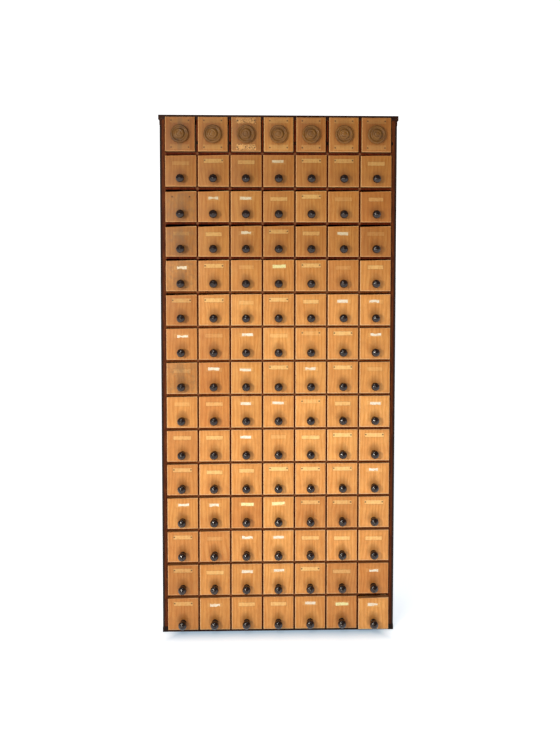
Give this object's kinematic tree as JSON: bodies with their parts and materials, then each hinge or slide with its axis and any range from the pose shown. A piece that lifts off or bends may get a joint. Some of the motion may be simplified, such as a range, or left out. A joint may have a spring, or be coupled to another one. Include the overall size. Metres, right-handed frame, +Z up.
{
  "type": "apothecary cabinet",
  "caption": "Tall wooden apothecary cabinet: a shallow carcass with a lattice of small square drawers, round knobs below and turned disc pulls along the top.",
  "frame": {"origin": "centre of the carcass underside, where it stands on the floor", "axes": "+Z up, +X to the right as seen from the front, drawers open towards -Y"},
  "size_m": [0.901, 0.349, 1.978],
  "materials": {
    "frame_wood": "dark red-brown stain, worn satin varnish",
    "lattice_wood": "dark stained edge, dull",
    "drawer_wood": "honey-orange aged varnish over vertical grain, grimy around the knobs",
    "box_wood": "bare, dusty, unvarnished",
    "knob_lacquer": "near-black brown gloss lacquer",
    "pull_wood": "turned, browned varnish, darker in the cove",
    "paper_label": "matt torn paper, yellowed"
  },
  "bodies": {
    "carcass": {"left_side": "frame_wood", "right_side": "frame_wood", "top_board": "frame_wood", "bottom_board": "frame_wood", "back_panel": "frame_wood", "divider_1": "lattice_wood", "divider_2": "lattice_wood", "divider_3": "lattice_wood", "divider_4": "lattice_wood", "divider_5": "lattice_wood", "divider_6": "lattice_wood", "shelf_01": "lattice_wood", "shelf_02": "lattice_wood", "shelf_03": "lattice_wood", "shelf_04": "lattice_wood", "shelf_05": "lattice_wood", "shelf_06": "lattice_wood", "shelf_07": "lattice_wood", "shelf_08": "lattice_wood", "shelf_09": "lattice_wood", "shelf_10": "lattice_wood", "shelf_11": "lattice_wood", "shelf_12": "lattice_wood", "shelf_13": "lattice_wood", "shelf_14": "lattice_wood"},
    "drawer_r01_c1": {"drawer_r01_c1": "drawer_wood"},
    "drawer_r01_c2": {"drawer_r01_c2": "drawer_wood"},
    "drawer_r01_c3": {"drawer_r01_c3": "drawer_wood"},
    "drawer_r01_c4": {"drawer_r01_c4": "drawer_wood"},
    "drawer_r01_c5": {"drawer_r01_c5": "drawer_wood"},
    "drawer_r01_c6": {"drawer_r01_c6": "drawer_wood"},
    "drawer_r01_c7": {"drawer_r01_c7": "drawer_wood"},
    "drawer_row_02": {"drawer_row_02": "drawer_wood"},
    "drawer_row_03": {"drawer_row_03": "drawer_wood"},
    "drawer_row_04": {"drawer_row_04": "drawer_wood"},
    "drawer_row_05": {"drawer_row_05": "drawer_wood"},
    "drawer_row_06": {"drawer_row_06": "drawer_wood"},
    "drawer_row_07": {"drawer_row_07": "drawer_wood"},
    "drawer_r08_c1": {"drawer_r08_c1": "drawer_wood"},
    "drawer_r08_c2": {"drawer_r08_c2": "drawer_wood"},
    "drawer_r08_c3": {"drawer_r08_c3": "drawer_wood"},
    "drawer_r08_c4": {"drawer_r08_c4": "drawer_wood"},
    "drawer_r08_c5": {"drawer_r08_c5": "drawer_wood"},
    "drawer_r08_c6": {"drawer_r08_c6": "drawer_wood"},
    "drawer_r08_c7": {"drawer_r08_c7": "drawer_wood"},
    "drawer_row_09": {"drawer_row_09": "drawer_wood"},
    "drawer_row_10": {"drawer_row_10": "drawer_wood"},
    "drawer_row_11": {"drawer_row_11": "drawer_wood"},
    "drawer_row_12": {"drawer_row_12": "drawer_wood"},
    "drawer_row_13": {"drawer_row_13": "drawer_wood"},
    "drawer_row_14": {"drawer_row_14": "drawer_wood"},
    "drawer_r15_c1": {"drawer_r15_c1": "drawer_wood"},
    "drawer_r15_c2": {"drawer_r15_c2": "drawer_wood"},
    "drawer_r15_c3": {"drawer_r15_c3": "drawer_wood"},
    "drawer_r15_c4": {"drawer_r15_c4": "drawer_wood"},
    "drawer_r15_c5": {"drawer_r15_c5": "drawer_wood"},
    "drawer_r15_c6": {"drawer_r15_c6": "drawer_wood"},
    "drawer_r15_c7": {"drawer_r15_c7_box": "box_wood", "drawer_r15_c7_front": "drawer_wood", "drawer_r15_c7_knob": "knob_lacquer"}
  },
  "joints": [
    {"name": "slide_r01_c1", "type": "slide", "parent": "carcass", "child": "drawer_r01_c1", "axis": [0, -1, 0], "range_m": [0, 0.22]},
    {"name": "slide_r01_c2", "type": "slide", "parent": "carcass", "child": "drawer_r01_c2", "axis": [0, -1, 0], "range_m": [0, 0.22]},
    {"name": "slide_r01_c3", "type": "slide", "parent": "carcass", "child": "drawer_r01_c3", "axis": [0, -1, 0], "range_m": [0, 0.22]},
    {"name": "slide_r01_c4", "type": "slide", "parent": "carcass", "child": "drawer_r01_c4", "axis": [0, -1, 0], "range_m": [0, 0.22]},
    {"name": "slide_r01_c5", "type": "slide", "parent": "carcass", "child": "drawer_r01_c5", "axis": [0, -1, 0], "range_m": [0, 0.22]},
    {"name": "slide_r01_c6", "type": "slide", "parent": "carcass", "child": "drawer_r01_c6", "axis": [0, -1, 0], "range_m": [0, 0.22]},
    {"name": "slide_r01_c7", "type": "slide", "parent": "carcass", "child": "drawer_r01_c7", "axis": [0, -1, 0], "range_m": [0, 0.22]},
    {"name": "slide_row_02", "type": "slide", "parent": "carcass", "child": "drawer_row_02", "axis": [0, -1, 0], "range_m": [0, 0.22]},
    {"name": "slide_row_03", "type": "slide", "parent": "carcass", "child": "drawer_row_03", "axis": [0, -1, 0], "range_m": [0, 0.22]},
    {"name": "slide_row_04", "type": "slide", "parent": "carcass", "child": "drawer_row_04", "axis": [0, -1, 0], "range_m": [0, 0.22]},
    {"name": "slide_row_05", "type": "slide", "parent": "carcass", "child": "drawer_row_05", "axis": [0, -1, 0], "range_m": [0, 0.22]},
    {"name": "slide_row_06", "type": "slide", "parent": "carcass", "child": "drawer_row_06", "axis": [0, -1, 0], "range_m": [0, 0.22]},
    {"name": "slide_row_07", "type": "slide", "parent": "carcass", "child": "drawer_row_07", "axis": [0, -1, 0], "range_m": [0, 0.22]},
    {"name": "slide_r08_c1", "type": "slide", "parent": "carcass", "child": "drawer_r08_c1", "axis": [0, -1, 0], "range_m": [0, 0.22]},
    {"name": "slide_r08_c2", "type": "slide", "parent": "carcass", "child": "drawer_r08_c2", "axis": [0, -1, 0], "range_m": [0, 0.22]},
    {"name": "slide_r08_c3", "type": "slide", "parent": "carcass", "child": "drawer_r08_c3", "axis": [0, -1, 0], "range_m": [0, 0.22]},
    {"name": "slide_r08_c4", "type": "slide", "parent": "carcass", "child": "drawer_r08_c4", "axis": [0, -1, 0], "range_m": [0, 0.22]},
    {"name": "slide_r08_c5", "type": "slide", "parent": "carcass", "child": "drawer_r08_c5", "axis": [0, -1, 0], "range_m": [0, 0.22]},
    {"name": "slide_r08_c6", "type": "slide", "parent": "carcass", "child": "drawer_r08_c6", "axis": [0, -1, 0], "range_m": [0, 0.22]},
    {"name": "slide_r08_c7", "type": "slide", "parent": "carcass", "child": "drawer_r08_c7", "axis": [0, -1, 0], "range_m": [0, 0.22]},
    {"name": "slide_row_09", "type": "slide", "parent": "carcass", "child": "drawer_row_09", "axis": [0, -1, 0], "range_m": [0, 0.22]},
    {"name": "slide_row_10", "type": "slide", "parent": "carcass", "child": "drawer_row_10", "axis": [0, -1, 0], "range_m": [0, 0.22]},
    {"name": "slide_row_11", "type": "slide", "parent": "carcass", "child": "drawer_row_11", "axis": [0, -1, 0], "range_m": [0, 0.22]},
    {"name": "slide_row_12", "type": "slide", "parent": "carcass", "child": "drawer_row_12", "axis": [0, -1, 0], "range_m": [0, 0.22]},
    {"name": "slide_row_13", "type": "slide", "parent": "carcass", "child": "drawer_row_13", "axis": [0, -1, 0], "range_m": [0, 0.22]},
    {"name": "slide_row_14", "type": "slide", "parent": "carcass", "child": "drawer_row_14", "axis": [0, -1, 0], "range_m": [0, 0.22]},
    {"name": "slide_r15_c1", "type": "slide", "parent": "carcass", "child": "drawer_r15_c1", "axis": [0, -1, 0], "range_m": [0, 0.22]},
    {"name": "slide_r15_c2", "type": "slide", "parent": "carcass", "child": "drawer_r15_c2", "axis": [0, -1, 0], "range_m": [0, 0.22]},
    {"name": "slide_r15_c3", "type": "slide", "parent": "carcass", "child": "drawer_r15_c3", "axis": [0, -1, 0], "range_m": [0, 0.22]},
    {"name": "slide_r15_c4", "type": "slide", "parent": "carcass", "child": "drawer_r15_c4", "axis": [0, -1, 0], "range_m": [0, 0.22]},
    {"name": "slide_r15_c5", "type": "slide", "parent": "carcass", "child": "drawer_r15_c5", "axis": [0, -1, 0], "range_m": [0, 0.22]},
    {"name": "slide_r15_c6", "type": "slide", "parent": "carcass", "child": "drawer_r15_c6", "axis": [0, -1, 0], "range_m": [0, 0.22]},
    {"name": "slide_r15_c7", "type": "slide", "parent": "carcass", "child": "drawer_r15_c7", "axis": [0, -1, 0], "range_m": [-0.008, 0.212]}
  ]
}
